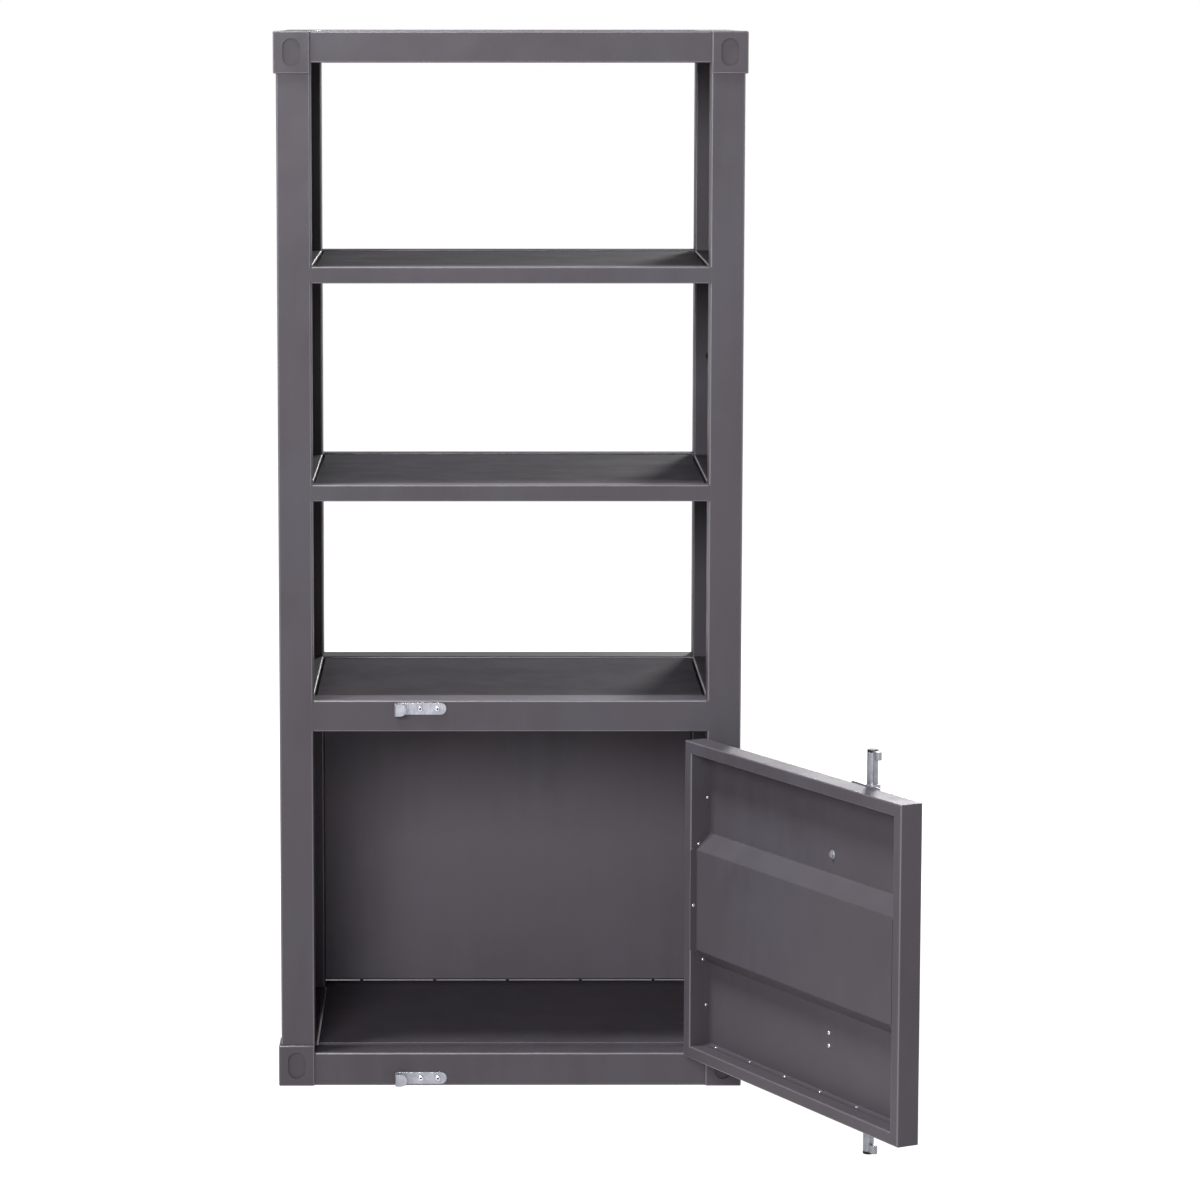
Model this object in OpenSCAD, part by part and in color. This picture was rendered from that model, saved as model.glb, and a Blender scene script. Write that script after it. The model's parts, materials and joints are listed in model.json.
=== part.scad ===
// Container-style metal bookcase: three open bays over a cabinet with one hinged door.
// +X is to the right, +Y to the back and +Z up. The origin is on the floor, at the middle
// of the front base rail's underside. The door is drawn closed and then turned to its
// resting angle, with everything that it carries.

/* [Carcass] */
// Width over the posts
carcass_w = 700; // [640:10:800]
// Depth over the posts
carcass_d = 488; // [440:4:560]
// Height from the floor to the top
carcass_h = 1606; // [1540:2:1700]
// Side of the square tube of the posts and the wide rails
post_w = 51; // [48:1:54]
// Height of the base rails
base_rail_h = 51; // [48:1:54]
// Height of the rails at the cabinet's top
cabinet_rail_h = 48; // [45:1:51]
// Height of the top rails
top_rail_h = 47; // [44:1:51]
// Clear height inside the cabinet
cabinet_clear_h = 499; // [480:1:520]
// Side of the square tube round the two open shelves
shelf_tube = 25; // [22:1:28]
// Wall of every tube
tube_wall = 1.5; // [1.2:0.1:2]

/* [Corner castings] */
// Height of a casting
casting_h = 63; // [60:1:66]
// How far a casting stands proud of the post
casting_proud = 4; // [3:0.5:5]
// Width of the oval hole in each outer face
oval_w = 26; // [22:1:30]
// Height of the oval hole
oval_h = 41; // [36:1:45]

/* [Sheet metal] */
// Thickness of every pressed sheet
sheet = 1.5; // [1.2:0.1:2]
// Depth of the turned-down edge of a tray panel
tray_skirt = 12; // [8:1:16]
// Depth of a shelf's surface below its rails
tray_recess = 2.5; // [1:0.5:4]
// Open gap between a tray panel and the side rails
tray_side_gap = 4; // [3:0.5:6]
// Height of the cabinet floor above the base rails
floor_raise = 3.5; // [2:0.5:5]
// Depth of the side walls' pressed waves
wave_depth = 14; // [8:1:18]
// Number of waves in a side wall
wave_count = 4; // [3:1:6]

/* [Door] */
// Thickness of the door
door_t = 36; // [32:1:40]
// Width of the door frame's face
stile_w = 18.5; // [16:0.5:22]
// Gap at the hinge side
hinge_gap = 4; // [3.8:0.1:5]
// Gap at the free side
free_gap = 3; // [2:0.5:5]
// Gap below the door
low_gap = 2; // [1:0.5:4]
// Gap above the door
high_gap = 9; // [7:0.5:12]
// Depth of the pressed middle of the door's skin
press_depth = 24; // [18:1:26]
// Opening angle at which the door rests
door_open_deg = 117.6; // [90:0.1:125]

/* [Lock bar] */
// Diameter of the lock bar
bar_d = 16; // [14:1:16]
// Distance from the closed door's hinge end to the bar's axis
bar_from_hinge = 443.5; // [442:0.5:445]
// Distance from the door's outer face to the bar's axis
bar_standoff = 12.5; // [12:0.5:13]
// Reach of a lug from the bar's axis
lug_reach = 20; // [16:1:22]
// Length of the handle from the bar's axis
handle_len = 122; // [105:1:135]

/* [Hidden] */
$fn = 48;

paint = [0.35, 0.34, 0.37];
shaded_paint = [0.27, 0.27, 0.29];
silver = [0.68, 0.69, 0.73];
black = [0.06, 0.06, 0.07];

LEFT = -1;
RIGHT = 1;

// Carcass planes
half_w = carcass_w / 2;
open_half = half_w - post_w;
front_y = -post_w / 2;
back_y = front_y + carcass_d;
side_y0 = front_y + post_w;
side_y1 = back_y - post_w;

// Heights of the levels
cabinet_rail_z = base_rail_h + cabinet_clear_h;
cabinet_top = cabinet_rail_z + cabinet_rail_h;
top_rail_z = carcass_h - top_rail_h;
bay_clear = (top_rail_z - cabinet_top - 2 * shelf_tube) / 3;
lower_shelf_z = cabinet_top + bay_clear;
upper_shelf_z = lower_shelf_z + shelf_tube + bay_clear;
floor_top = base_rail_h + floor_raise;

// Cabinet back panel, a tray with its edges turned to the rear and a lip down to the rail
back_sheet_y = back_y - 14;
back_low_z = base_rail_h + 5;
back_screw_r = 2.5;

// Posts' round access holes, in the rear posts' front faces
access_r = 7;
access_z = 1086;

// Door, closed: its ends, faces and skin
door_x1 = open_half - hinge_gap;
door_x0 = -open_half + free_gap;
door_y = front_y;
door_z0 = base_rail_h + low_gap;
door_z1 = cabinet_rail_z - high_gap;
skin_y = door_y + 1.5;
skin_flange = 10;
press_low = [door_z0 + 146, door_z0 + 168];
press_high = [door_z0 + 322, door_z0 + 346];

// Hinges: barrels in front of the gap beside the post
hinge_x = open_half - 1;
hinge_y = front_y - 3.6;
barrel_r = 3.2;
hinge_pin_r = 1.6;
hinge_fit = 0.06;
leaf_t = 1.6;
leaf_reach = 30;
leaf_start = front_y + 1.5;
hinge_h = 64;
knuckle_gap = 0.4;
post_knuckle_h = 20;
hinge_zs = [door_z0 + 60, door_z1 - 60 - hinge_h];

// Lock bar and what holds it
bar_r = bar_d / 2;
bar_bore_r = 6.5;
bar_fit = 0.08;
bar_x = door_x1 - bar_from_hinge;
bar_y = door_y - bar_standoff;
bar_z0 = 3;
bar_z1 = 593;
cap_t = 4;
guide_w = 72;
guide_h = 26;
guide_plate_t = 2.5;
guide_r = 11.5;
guide_zs = [door_z0 - 2, door_z1 + 2 - guide_h];
guide_bolt_dx = 27;

// Keepers: a strip whose left end is folded forward into an open hook
strip_h = 18;
strip_t = 2;
strip_right = -97;
hook_left = -175.5;
hook_flap_right = -157.5;
hook_depth = 20;
keeper_zs = [12, 585.5];
keeper_screw_xs = [-136.5, -110.5];
lug_h = 12;
lug_t = 8;

// Handle, its retainer and the knob
handle_z = 154;
handle_w = 14;
handle_t = 5;
hub_r = 12;
hub_h = 24;
retainer_x = door_x1 - 360;
retainer_screw_dz = 9.6;
knob_x = door_x1 - 365;
knob_z = 428;

// ---- Shared shapes ----

// A hollow tube along X, Y or Z (run = 0, 1 or 2), open at both ends
module box_tube(low, size, run) {
  inner = [for (i = [0:2]) i == run ? size[i] + 2 : size[i] - 2 * tube_wall];
  shift = [for (i = [0:2]) i == run ? -1 : tube_wall];
  translate(low)
    difference() {
      cube(size);
      translate(shift) cube(inner);
    }
}

// A hollow tube with closed ends
module closed_tube(low, size) {
  translate(low)
    difference() {
      cube(size);
      translate([tube_wall, tube_wall, tube_wall])
        cube([for (s = size) s - 2 * tube_wall]);
    }
}

// A copy of its children on each side of the middle plane
module both_sides() {
  children();
  mirror([1, 0, 0]) children();
}

// Turns the closed door and what it carries to the resting angle
module door_pose() {
  translate([hinge_x, hinge_y, 0])
    rotate([0, 0, door_open_deg])
      translate([-hinge_x, -hinge_y, 0])
        children();
}

// A domed screw head whose back face is at the origin and which points along +Z
module screw_head(r, h) {
  intersection() {
    cylinder(r = r, h = h);
    translate([0, 0, h - r * 1.6]) sphere(r = r * 1.6);
  }
}

// ---- Carcass ----

module post(side, y) {
  low_x = side == LEFT ? -half_w : open_half;
  box_tube([low_x, y, casting_proud], [post_w, post_w, carcass_h - 2 * casting_proud], 2);
}

module rear_post(side) {
  difference() {
    post(side, side_y1);
    translate([side * (half_w - post_w / 2), side_y1 - 1, access_z])
      rotate([-90, 0, 0]) cylinder(r = access_r, h = tube_wall + 2);
  }
}

module post_front_left() { color(paint) post(LEFT, front_y); }
module post_front_right() { color(paint) post(RIGHT, front_y); }
module post_rear_left() { color(paint) rear_post(LEFT); }
module post_rear_right() { color(paint) rear_post(RIGHT); }

// An upright oval prism along +Z, with round ends
module oval_prism(depth) {
  straight = oval_h - oval_w;
  for (dy = [-straight / 2, straight / 2])
    translate([0, dy, 0]) cylinder(r = oval_w / 2, h = depth);
  translate([-oval_w / 2, -straight / 2, 0]) cube([oval_w, straight, depth]);
}

// The casting of the right front base corner: two outer walls and a foot plate
module corner_casting() {
  wall = casting_proud;
  outer_x = half_w + wall;
  outer_y = front_y - wall;
  mid_z = casting_h / 2;
  difference() {
    union() {
      translate([open_half + 0.5, outer_y, 0])
        cube([outer_x - open_half - 0.5, wall, casting_h]);
      translate([half_w, outer_y, 0]) cube([wall, post_w + wall, casting_h]);
      translate([open_half + 0.5, outer_y, 0])
        cube([outer_x - open_half - 0.5, post_w + wall, wall]);
    }
    translate([(open_half + outer_x) / 2, outer_y - 1, mid_z])
      rotate([90, 0, 0]) translate([0, 0, -wall - 2]) oval_prism(wall + 2);
    translate([half_w - 1, (outer_y + side_y0) / 2, mid_z])
      rotate([90, 0, 90]) oval_prism(wall + 2);
  }
}

// Places the casting at another corner by mirroring it
module casting_at(side, rear, top) {
  flip_x = side == LEFT ? [1, 0, 0] : [0, 0, 0];
  flip_y = rear ? [0, 1, 0] : [0, 0, 0];
  flip_z = top ? [0, 0, 1] : [0, 0, 0];
  mid_y = (front_y + back_y) / 2;
  color(paint)
    mirror(flip_x)
      translate([0, mid_y, carcass_h / 2]) mirror(flip_y) mirror(flip_z)
        translate([0, -mid_y, -carcass_h / 2])
          corner_casting();
}

module casting_top_front_left() { casting_at(LEFT, false, true); }
module casting_top_front_right() { casting_at(RIGHT, false, true); }
module casting_top_rear_left() { casting_at(LEFT, true, true); }
module casting_top_rear_right() { casting_at(RIGHT, true, true); }
module casting_base_front_left() { casting_at(LEFT, false, false); }
module casting_base_front_right() { casting_at(RIGHT, false, false); }
module casting_base_rear_left() { casting_at(LEFT, true, false); }
module casting_base_rear_right() { casting_at(RIGHT, true, false); }

// Rails across the width, with their outer faces flush with the posts
module front_rail(z, deep, high) {
  color(paint) box_tube([-open_half, front_y, z], [2 * open_half, deep, high], 0);
}

module rear_rail(z, deep, high) {
  color(paint) box_tube([-open_half, back_y - deep, z], [2 * open_half, deep, high], 0);
}

// Rails from front post to rear post, with their inner faces flush with the posts
module side_rails(z, wide, high) {
  color(shaded_paint)
    both_sides()
      box_tube([open_half, side_y0, z], [wide, side_y1 - side_y0, high], 1);
}

module top_rail_front() { front_rail(top_rail_z, post_w, top_rail_h); }
module top_rail_rear() { rear_rail(top_rail_z, post_w, top_rail_h); }
module top_side_rails() { side_rails(top_rail_z, post_w, top_rail_h); }
module upper_shelf_rail_front() { front_rail(upper_shelf_z, shelf_tube, shelf_tube); }
module upper_shelf_rail_rear() { rear_rail(upper_shelf_z, shelf_tube, shelf_tube); }
module upper_shelf_side_rails() { side_rails(upper_shelf_z, shelf_tube, shelf_tube); }
module lower_shelf_rail_front() { front_rail(lower_shelf_z, shelf_tube, shelf_tube); }
module lower_shelf_rail_rear() { rear_rail(lower_shelf_z, shelf_tube, shelf_tube); }
module lower_shelf_side_rails() { side_rails(lower_shelf_z, shelf_tube, shelf_tube); }
module cabinet_rail_front() { front_rail(cabinet_rail_z, post_w, cabinet_rail_h); }
module cabinet_rail_rear() { rear_rail(cabinet_rail_z, post_w, cabinet_rail_h); }
module cabinet_side_rails() { side_rails(cabinet_rail_z, post_w, cabinet_rail_h); }
module base_rail_front() { front_rail(0, post_w, base_rail_h); }
module base_rail_rear() { rear_rail(0, post_w, base_rail_h); }
module base_side_rails() { side_rails(0, post_w, base_rail_h); }

// A folded tray between the front and rear rails, open below
module tray_panel(top, rail_deep) {
  wide = 2 * (open_half - tray_side_gap);
  y0 = front_y + rail_deep;
  deep = carcass_d - 2 * rail_deep;
  high = sheet + tray_skirt;
  color(shaded_paint)
    translate([-wide / 2, y0, top - high])
      difference() {
        cube([wide, deep, high]);
        translate([sheet, sheet, -1])
          cube([wide - 2 * sheet, deep - 2 * sheet, tray_skirt + 1]);
      }
}

module top_panel() { tray_panel(carcass_h - tray_recess, post_w); }
module upper_shelf_panel() {
  tray_panel(upper_shelf_z + shelf_tube - tray_recess, shelf_tube);
}
module lower_shelf_panel() {
  tray_panel(lower_shelf_z + shelf_tube - tray_recess, shelf_tube);
}
module cabinet_top_panel() { tray_panel(cabinet_top - tray_recess, post_w); }
module cabinet_floor_panel() { tray_panel(floor_top, post_w); }

// Centre line of a pressed wave along a length, from outer crest to outer crest
function wave_line(length, count, depth) =
  let (pitch = length / count, corners = [0.18, 0.34, 0.66, 0.82])
  concat(
    [[0, 0]],
    [for (i = [0:count - 1], k = [0:3])
      [(i + corners[k]) * pitch, k == 1 || k == 2 ? depth : 0]],
    [[length, 0]]
  );

// A closed outline of constant thickness along a line, grown towards +Y
function sheet_outline(line, thick) =
  concat(line, [for (i = [len(line) - 1:-1:0]) line[i] + [0, thick]]);

// A waved wall on each side, between the posts and between two rails
module side_panels(z0, z1) {
  crest_x = half_w - casting_proud;
  color(shaded_paint)
    both_sides()
      translate([crest_x, side_y0, z0])
        rotate([0, 0, 90])
          linear_extrude(z1 - z0)
            polygon(sheet_outline(
              wave_line(side_y1 - side_y0, wave_count, wave_depth), sheet));
}

module side_panels_upper() { side_panels(cabinet_top, top_rail_z); }
module side_panels_lower() { side_panels(base_rail_h, cabinet_rail_z); }

module cabinet_back_panel() {
  wide = 2 * open_half;
  high = cabinet_rail_z - back_low_z;
  deep = back_y - back_sheet_y;
  color(shaded_paint) {
    translate([-open_half, back_sheet_y, back_low_z])
      difference() {
        cube([wide, deep, high]);
        translate([sheet, sheet, sheet])
          cube([wide - 2 * sheet, deep, high - 2 * sheet]);
      }
    translate([-open_half, back_y - sheet, base_rail_h])
      cube([wide, sheet, back_low_z - base_rail_h + sheet]);
  }
}

// Spacer screws between the back panel's lower edge and the base rail
module back_panel_screws() {
  color(black)
    for (x = [-240:120:240])
      translate([x, back_y - 7, base_rail_h])
        cylinder(r = back_screw_r, h = back_low_z - base_rail_h);
}

// ---- Keepers on the front rails ----

// Plan of the folded strip: plate, side wall and hook flap
module keeper_plan() {
  plate_y = front_y - strip_t;
  flap_y = front_y - hook_depth;
  translate([hook_left, plate_y]) square([strip_right - hook_left, strip_t]);
  translate([hook_left, flap_y]) square([strip_t, hook_depth]);
  translate([hook_left, flap_y]) square([hook_flap_right - hook_left, strip_t]);
}

// Front outline of the strip, with a round right end
module strip_outline(right) {
  end_r = strip_h / 2;
  translate([hook_left, -end_r]) square([right - end_r - hook_left, strip_h]);
  translate([right - end_r, 0]) circle(r = end_r);
}

module keeper(z) {
  color(silver)
    translate([0, 0, z])
      difference() {
        intersection() {
          translate([0, 0, -strip_h / 2]) linear_extrude(strip_h) keeper_plan();
          union() {
            translate([0, front_y, 0]) rotate([90, 0, 0])
              linear_extrude(strip_t) strip_outline(strip_right);
            translate([0, front_y, 0]) rotate([90, 0, 0])
              linear_extrude(hook_depth) strip_outline(hook_flap_right);
          }
        }
        for (x = keeper_screw_xs)
          translate([x, front_y + 1, 0]) rotate([90, 0, 0]) cylinder(r = 2.2, h = strip_t + 2);
      }
}

module keeper_upper() { keeper(keeper_zs[1]); }
module keeper_lower() { keeper(keeper_zs[0]); }

module keeper_screws() {
  color(silver)
    for (z = keeper_zs, x = keeper_screw_xs)
      translate([x, front_y, z]) rotate([90, 0, 0]) {
        cylinder(r = 2, h = strip_t);
        translate([0, 0, strip_t]) screw_head(4.3, 2.2);
      }
}

// ---- Hinges ----

// A knuckle on the hinge axis, with its tab to a leaf whose near face is at leaf_x
module knuckle(leaf_x, z, high, bore_r) {
  difference() {
    union() {
      translate([hinge_x, hinge_y, z]) cylinder(r = barrel_r, h = high);
      translate([leaf_x, hinge_y, z]) cube([leaf_t, leaf_start - hinge_y, high]);
    }
    translate([hinge_x, hinge_y, z - 1]) cylinder(r = bore_r, h = high + 2);
  }
}

module leaf_plate(leaf_x, z) {
  translate([leaf_x, leaf_start, z]) cube([leaf_t, leaf_reach, hinge_h]);
}

module hinge_post_leaves() {
  leaf_x = open_half - leaf_t;
  color(paint)
    for (z = hinge_zs) {
      leaf_plate(leaf_x, z);
      knuckle(leaf_x, z, post_knuckle_h, hinge_pin_r);
      knuckle(leaf_x, z + hinge_h - post_knuckle_h, post_knuckle_h, hinge_pin_r);
    }
}

module hinge_door_leaves() {
  knuckle_h = hinge_h - 2 * (post_knuckle_h + knuckle_gap);
  color(paint)
    door_pose()
      for (z = hinge_zs) {
        leaf_plate(door_x1, z);
        knuckle(door_x1, z + post_knuckle_h + knuckle_gap, knuckle_h, hinge_pin_r + hinge_fit);
      }
}

module hinge_pins() {
  head_h = 1.5;
  color(silver)
    for (z = hinge_zs)
      translate([hinge_x, hinge_y, z]) {
        cylinder(r = hinge_pin_r, h = hinge_h);
        translate([0, 0, -head_h]) cylinder(r = barrel_r - 0.6, h = head_h);
        translate([0, 0, hinge_h]) cylinder(r = barrel_r - 0.6, h = head_h);
      }
}

// ---- Door ----

module door_stile(x) {
  color(paint)
    door_pose()
      closed_tube([x, door_y, door_z0], [stile_w, door_t, door_z1 - door_z0]);
}

module door_rail(z) {
  color(paint)
    door_pose()
      closed_tube([door_x0 + stile_w, door_y, z], [door_x1 - door_x0 - 2 * stile_w, door_t, stile_w]);
}

module door_hinge_stile() { door_stile(door_x1 - stile_w); }
module door_free_stile() { door_stile(door_x0); }
module door_top_rail() { door_rail(door_z1 - stile_w); }
module door_bottom_rail() { door_rail(door_z0); }

// Outer side of the skin's pressed profile: [height, distance from the skin's plane]
skin_line = [
  [door_z0 + stile_w, 0],
  [press_low[0], 0], [press_low[1], press_depth],
  [press_high[0], press_depth], [press_high[1], 0],
  [door_z1 - stile_w, 0]
];

// Extrudes an outline of [height, distance] along X from x0 to x1
module along_door(x0, x1) {
  translate([x0, skin_y, 0])
    rotate([0, -90, 0])
      mirror([0, 0, 1])
        linear_extrude(x1 - x0)
          children();
}

module door_skin() {
  x0 = door_x0 + stile_w;
  x1 = door_x1 - stile_w;
  z0 = door_z0 + stile_w;
  z1 = door_z1 - stile_w;
  color(paint)
    door_pose()
      difference() {
        union() {
          along_door(x0, x1) polygon(sheet_outline(skin_line, sheet));
          for (x = [x0, x1 - sheet])
            along_door(x, x + sheet) polygon(sheet_outline(skin_line, skin_flange));
          for (z = [z0, z1 - sheet])
            translate([x0, skin_y, z]) cube([x1 - x0, skin_flange, sheet]);
        }
        translate([knob_x, skin_y - 1, knob_z]) rotate([-90, 0, 0]) cylinder(r = 2.7, h = sheet + 2);
        for (dz = [-retainer_screw_dz, retainer_screw_dz])
          translate([retainer_x, skin_y - 1, handle_z + dz])
            rotate([-90, 0, 0]) cylinder(r = 1.7, h = sheet + 2);
      }
}

// Distance of the skin's inner surface from the skin's plane at a height
function skin_inner(z) = lookup(z, skin_line) + sheet;

// Small screws that hold the skin's turned edges to the frame
module door_skin_screws() {
  x0 = door_x0 + stile_w + sheet;
  x1 = door_x1 - stile_w - sheet;
  z0 = door_z0 + stile_w + sheet;
  z1 = door_z1 - stile_w - sheet;
  side_zs = [door_z0 + 80, door_z0 + 152, door_z0 + 237, door_z0 + 331, door_z0 + 401];
  edge_y = skin_y + sheet + 4.5;
  color(silver)
    door_pose() {
      for (z = side_zs) {
        translate([x1, skin_y + skin_inner(z) + 4.5, z]) rotate([0, -90, 0]) screw_head(2.5, 1.8);
        translate([x0, skin_y + skin_inner(z) + 4.5, z]) rotate([0, 90, 0]) screw_head(2.5, 1.8);
      }
      for (i = [0:5]) {
        x = x1 - 30 - i * (x1 - x0 - 60) / 5;
        translate([x, edge_y, z0]) screw_head(2.5, 1.8);
        translate([x, edge_y, z1]) rotate([180, 0, 0]) screw_head(2.5, 1.8);
      }
    }
}

// ---- Knob and handle retainer ----

module pull_knob() {
  color(silver)
    door_pose()
      translate([knob_x, skin_y, knob_z])
        rotate([90, 0, 0])
          rotate_extrude()
            polygon([[0, 0], [10, 0], [10, 2], [5.5, 4.5], [5, 12], [8, 15.5], [13, 17],
              [14, 20], [13, 23.5], [9, 26], [0, 27]]);
}

module knob_screw() {
  color(silver)
    door_pose()
      translate([knob_x, skin_y, knob_z])
        rotate([-90, 0, 0]) {
          cylinder(r = 2.5, h = sheet);
          translate([0, 0, sheet]) cylinder(r = 6.5, h = 1);
          translate([0, 0, sheet + 1]) cylinder(r = 4.4, h = 3, $fn = 6);
        }
}

// A cradle with an upright ear above and below the handle
module handle_retainer() {
  wide = 20;
  high = 40;
  base_t = 2.5;
  ear_gap = handle_w / 2 + 0.8;
  ear_reach = bar_standoff + handle_t / 2 + 1.5;
  color(silver)
    door_pose()
      translate([retainer_x, skin_y, handle_z]) {
        translate([-wide / 2, -base_t, -high / 2]) cube([wide, base_t, high]);
        for (dz = [ear_gap, -ear_gap - 3])
          translate([-wide / 2, -ear_reach, dz]) cube([wide, ear_reach, 3]);
      }
}

module retainer_screws() {
  color(silver)
    door_pose()
      for (dz = [-retainer_screw_dz, retainer_screw_dz])
        translate([retainer_x, skin_y, handle_z + dz])
          rotate([-90, 0, 0]) {
            cylinder(r = 1.6, h = sheet);
            translate([0, 0, sheet]) screw_head(3.2, 2);
          }
}

// ---- Lock bar ----

// A saddle on the door's face, with the bar's bearing through it
module guide_bracket(z) {
  color(silver)
    door_pose()
      translate([bar_x, 0, z])
        difference() {
          union() {
            translate([-guide_w / 2, door_y - guide_plate_t, 0])
              cube([guide_w, guide_plate_t, guide_h]);
            translate([-guide_r, bar_y, 0]) cube([2 * guide_r, bar_standoff, guide_h]);
            translate([0, bar_y, 0]) cylinder(r = guide_r, h = guide_h);
          }
          translate([0, bar_y, -1]) cylinder(r = bar_r + bar_fit, h = guide_h + 2);
          for (dx = [-guide_bolt_dx, guide_bolt_dx])
            translate([dx, door_y + 1, guide_h / 2])
              rotate([90, 0, 0]) cylinder(r = 2.7, h = guide_plate_t + 2);
        }
}

module guide_bracket_upper() { guide_bracket(guide_zs[1]); }
module guide_bracket_lower() { guide_bracket(guide_zs[0]); }

module guide_bolts() {
  color(silver)
    door_pose()
      for (z = guide_zs, dx = [-guide_bolt_dx, guide_bolt_dx])
        translate([bar_x + dx, door_y, z + guide_h / 2])
          rotate([90, 0, 0]) {
            cylinder(r = 2.5, h = guide_plate_t);
            translate([0, 0, guide_plate_t]) screw_head(4.8, 3.2);
          }
}

module lock_bar() {
  high = bar_z1 - bar_z0 - 2 * cap_t;
  color(silver)
    door_pose()
      translate([bar_x, bar_y, bar_z0 + cap_t])
        difference() {
          cylinder(r = bar_r, h = high);
          translate([0, 0, -1]) cylinder(r = bar_bore_r, h = high + 2);
        }
}

// Fingers that turn into the keepers' hooks, welded to the side of the bar
module bar_lugs() {
  tip_r = lug_t / 2;
  color(silver)
    door_pose()
      for (z = keeper_zs)
        translate([bar_x, bar_y, z - lug_h / 2])
          difference() {
            union() {
              translate([-lug_reach + tip_r, -tip_r, 0]) cube([lug_reach - tip_r, lug_t, lug_h]);
              translate([-lug_reach + tip_r, 0, 0]) cylinder(r = tip_r, h = lug_h);
            }
            translate([0, 0, -1]) cylinder(r = bar_r, h = lug_h + 2);
          }
}

module bar_end_caps() {
  color(black)
    door_pose()
      for (z = [bar_z0, bar_z1 - cap_t])
        translate([bar_x, bar_y, z]) cylinder(r = bar_r, h = cap_t);
}

// A flat lever on a hub, lying along the door towards the hinges
module lock_handle() {
  end_r = handle_w / 2;
  color(silver)
    door_pose()
      translate([bar_x, bar_y, handle_z])
        difference() {
          union() {
            translate([0, 0, -hub_h / 2]) cylinder(r = hub_r, h = hub_h);
            translate([0, -handle_t / 2, -end_r]) cube([handle_len - end_r, handle_t, handle_w]);
            translate([handle_len - end_r, handle_t / 2, 0])
              rotate([90, 0, 0]) cylinder(r = end_r, h = handle_t);
          }
          translate([0, 0, -hub_h]) cylinder(r = bar_r, h = 2 * hub_h);
        }
}

// ---- What is drawn ----

post_front_left();
post_front_right();
post_rear_left();
post_rear_right();
casting_top_front_left();
casting_top_front_right();
casting_top_rear_left();
casting_top_rear_right();
casting_base_front_left();
casting_base_front_right();
casting_base_rear_left();
casting_base_rear_right();
top_rail_front();
top_rail_rear();
top_side_rails();
upper_shelf_rail_front();
upper_shelf_rail_rear();
upper_shelf_side_rails();
lower_shelf_rail_front();
lower_shelf_rail_rear();
lower_shelf_side_rails();
cabinet_rail_front();
cabinet_rail_rear();
cabinet_side_rails();
base_rail_front();
base_rail_rear();
base_side_rails();
top_panel();
upper_shelf_panel();
lower_shelf_panel();
cabinet_top_panel();
cabinet_floor_panel();
side_panels_upper();
side_panels_lower();
cabinet_back_panel();
back_panel_screws();
keeper_upper();
keeper_lower();
keeper_screws();
hinge_post_leaves();
hinge_pins();
door_hinge_stile();
door_free_stile();
door_top_rail();
door_bottom_rail();
door_skin();
door_skin_screws();
hinge_door_leaves();
handle_retainer();
retainer_screws();
guide_bracket_upper();
guide_bracket_lower();
guide_bolts();
pull_knob();
knob_screw();
lock_bar();
bar_lugs();
bar_end_caps();
lock_handle();
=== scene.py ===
"""A container-style metal bookcase: three open bays over a cabinet with one hinged door.

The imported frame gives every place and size. Each operator dresses one group of its parts.
"""

import json
import math

import bmesh
import bpy
from mathutils import Matrix, Vector


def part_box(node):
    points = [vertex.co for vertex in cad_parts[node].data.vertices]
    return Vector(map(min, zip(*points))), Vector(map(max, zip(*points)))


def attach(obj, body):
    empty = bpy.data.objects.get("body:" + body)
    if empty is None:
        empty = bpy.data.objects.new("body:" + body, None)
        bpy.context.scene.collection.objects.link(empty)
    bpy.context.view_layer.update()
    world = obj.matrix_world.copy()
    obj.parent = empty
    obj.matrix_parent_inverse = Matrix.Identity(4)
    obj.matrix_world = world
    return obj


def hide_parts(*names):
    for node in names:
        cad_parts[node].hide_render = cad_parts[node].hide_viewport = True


bl_info = {
    "name": "Container Bookcase",
    "version": (1, 0, 0),
    "blender": (4, 5, 0),
    "location": "View3D > Sidebar > Bookcase",
    "description": "Builds a container-style metal bookcase round its packed frame",
    "category": "Add Mesh",
}

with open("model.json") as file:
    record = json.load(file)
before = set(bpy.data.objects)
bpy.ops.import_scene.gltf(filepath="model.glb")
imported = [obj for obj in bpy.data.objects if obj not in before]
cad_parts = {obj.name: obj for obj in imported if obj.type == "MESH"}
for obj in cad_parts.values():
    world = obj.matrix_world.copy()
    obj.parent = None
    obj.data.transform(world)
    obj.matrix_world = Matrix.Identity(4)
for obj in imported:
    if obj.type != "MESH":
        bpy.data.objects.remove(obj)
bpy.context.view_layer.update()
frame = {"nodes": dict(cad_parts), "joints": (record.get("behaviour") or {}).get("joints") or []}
JOINTS = {joint["name"]: joint for joint in frame["joints"]}

MM = 0.001
X, Y, Z = 0, 1, 2
SHEET = 1.5 * MM
ACCESS_HOLE_HEIGHT = 1.086
ACCESS_HOLE_RADIUS = 7 * MM
DOOR_TUBE_RADIUS = 1.7 * MM
MITRE_SEAM = 0.08 * MM
KEEPER_STRIP = 2 * MM
KEEPER_FLAP = 18 * MM
SKIN_FLANGE = 10 * MM
WIDE_RAILS = (
    "top_rail_front", "top_rail_rear", "cabinet_rail_front", "cabinet_rail_rear",
    "base_rail_front", "base_rail_rear",
)
SHELF_RAILS = (
    "upper_shelf_rail_front", "upper_shelf_rail_rear",
    "lower_shelf_rail_front", "lower_shelf_rail_rear",
)
SIDE_RAILS = (
    "top_side_rails", "upper_shelf_side_rails", "lower_shelf_side_rails",
    "cabinet_side_rails", "base_side_rails",
)
TRAYS = (
    "top_panel", "upper_shelf_panel", "lower_shelf_panel",
    "cabinet_top_panel", "cabinet_floor_panel",
)


# ---- Settings ----

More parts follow.
